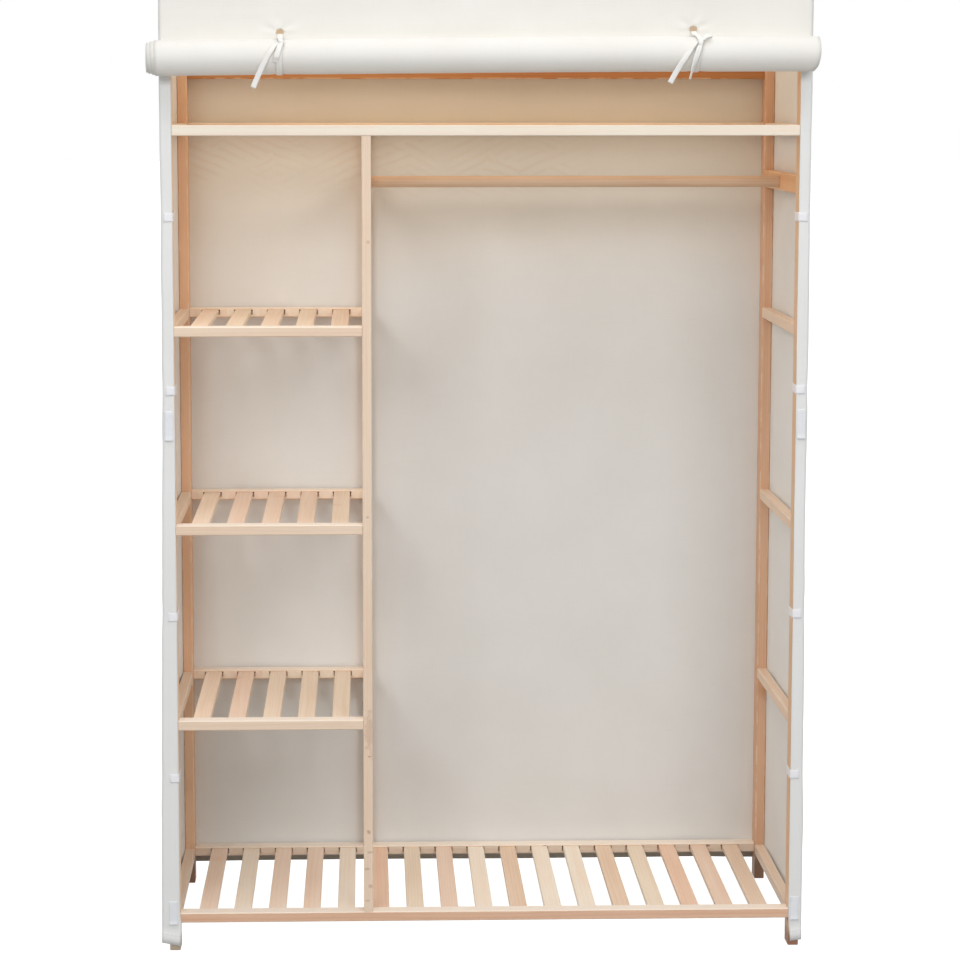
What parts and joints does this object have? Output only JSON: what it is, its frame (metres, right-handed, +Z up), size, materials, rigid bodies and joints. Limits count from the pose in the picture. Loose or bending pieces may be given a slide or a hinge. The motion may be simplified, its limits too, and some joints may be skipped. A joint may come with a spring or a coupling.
{
  "type": "portable fabric wardrobe",
  "caption": "Dowelled pine frame with slatted shelves and a hanging rod under an off-white cloth cover, its front door rolled up and tied.",
  "frame": {"origin": "on the floor, in the middle of the wardrobe's outline, which runs from the front of the tied-up roll to the back panel", "axes": "+X to the right seen from the front, +Y from the front to the back, +Z up"},
  "size_m": [1.121, 0.5128, 1.769],
  "materials": {
    "pine": "planed and lightly sealed, satin",
    "canvas": "plain woven cotton, matte",
    "tape": "narrow woven tape, matte"
  },
  "bodies": {
    "frame": {"front_left_post": "pine", "back_left_post": "pine", "left_rung_base": "pine", "left_rung_lower": "pine", "left_rung_middle": "pine", "left_rung_upper": "pine", "left_rung_cross": "pine", "left_rung_top": "pine", "front_right_post": "pine", "back_right_post": "pine", "right_rung_base": "pine", "right_rung_lower": "pine", "right_rung_middle": "pine", "right_rung_upper": "pine", "right_rung_cross": "pine", "right_rung_top": "pine", "base_front_rail": "pine", "base_back_rail": "pine", "front_crossbar": "pine", "back_crossbar": "pine", "back_mid_rail": "pine", "top_front_rail": "pine", "top_back_rail": "pine", "divider_front_post": "pine", "divider_back_post": "pine", "divider_rung_lower": "pine", "divider_rung_middle": "pine", "divider_rung_upper": "pine", "lower_shelf": "pine", "middle_shelf": "pine", "upper_shelf": "pine", "left_rod_support": "pine", "right_rod_support": "pine", "base_slat_01": "pine", "base_slat_02": "pine", "base_slat_03": "pine", "base_slat_04": "pine", "base_slat_05": "pine", "base_slat_06": "pine", "base_slat_07": "pine", "base_slat_08": "pine", "base_slat_09": "pine", "base_slat_10": "pine", "base_slat_11": "pine", "base_slat_12": "pine", "base_slat_13": "pine", "base_slat_14": "pine", "base_slat_15": "pine", "base_slat_16": "pine", "base_slat_17": "pine", "cover_back": "canvas", "cover_roof": "canvas", "cover_left_side": "canvas", "cover_right_side": "canvas", "cover_header": "canvas", "left_tie": "tape", "right_tie": "tape"},
    "rod": {"hanging_rod": "pine"},
    "door": {"door_roll": "canvas"}
  },
  "joints": [
    {"name": "rod_turn", "type": "hinge", "parent": "frame", "child": "rod", "pos_m": [0, 0.0349, 1.3255], "axis": [1, 0, 0], "continuous": true},
    {"name": "door_drop", "type": "slide", "parent": "frame", "child": "door", "axis": [0, 0, -1], "range_m": [0, 1.49], "deforming": ["left_tie", "right_tie"]}
  ]
}
